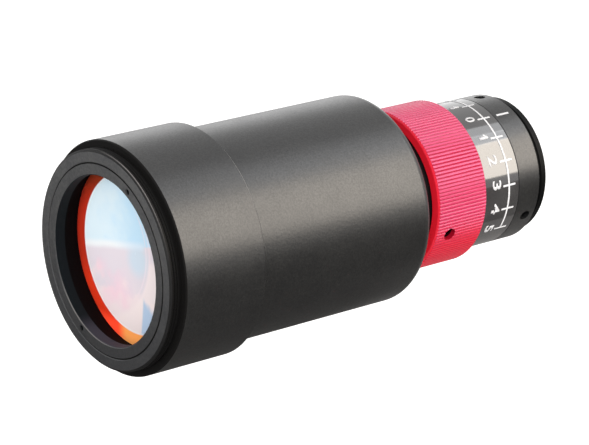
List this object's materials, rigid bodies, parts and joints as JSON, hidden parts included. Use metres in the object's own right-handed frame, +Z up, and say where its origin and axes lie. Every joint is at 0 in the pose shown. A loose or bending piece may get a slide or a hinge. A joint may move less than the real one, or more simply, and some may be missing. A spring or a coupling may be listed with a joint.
{
  "type": "laser beam expander",
  "caption": "Variable laser beam expander: wide output lens head, plain barrel, knurled red focus ring with a numbered scale, and a threaded input end.",
  "frame": {"origin": "centre of the input thread's mouth, in the plane of the input end face", "axes": "+X along the optical axis, out of the input end; the output lens faces -X; +Z up"},
  "size_m": [0.138, 0.063, 0.063],
  "materials": {
    "satin_anodised": "dark grey anodised, bead-blasted satin",
    "grey_anodised": "dark grey anodised, turned satin",
    "black_anodised": "matt black anodised",
    "gloss_anodised": "dark grey anodised, smooth gloss",
    "red_anodised": "crimson anodised",
    "infrared_crystal": "polished, anti-reflection coated",
    "bronze": "turned bearing bronze",
    "screw_steel": "stainless steel",
    "black_rubber": "matt elastomer"
  },
  "bodies": {
    "housing": {"head_housing": "satin_anodised", "output_lens_cell": "grey_anodised", "output_lens": "infrared_crystal", "lens_spacer": "black_anodised", "lens_cushion": "black_rubber", "output_retaining_ring": "grey_anodised", "barrel": "satin_anodised", "tube_lock_nut": "black_anodised", "guide_tube": "black_anodised", "front_glide_washer": "bronze", "rear_glide_washer": "bronze", "index_collar": "satin_anodised", "collar_set_screws": "screw_steel", "end_ring": "black_anodised"},
    "focus": {"focus_ring": "red_anodised", "scale_sleeve": "gloss_anodised", "cam_sleeve": "bronze", "ring_set_screws": "screw_steel"},
    "carriage": {"lens_carriage": "black_anodised", "input_lens": "infrared_crystal", "input_retaining_ring": "black_anodised", "guide_pins": "screw_steel"}
  },
  "joints": [
    {"name": "focus_turn", "type": "hinge", "parent": "housing", "child": "focus", "pos_m": [-0.0265, 0, 0], "axis": [1, 0, 0], "range_deg": [-96, 96]},
    {"name": "carriage_slide", "type": "slide", "parent": "housing", "child": "carriage", "axis": [1, 0, 0], "range_m": [-0.006, 0.006]}
  ],
  "couplings": [
    {"joint": "carriage_slide", "follows": "focus_turn", "m_per_rad": 0.003581}
  ]
}
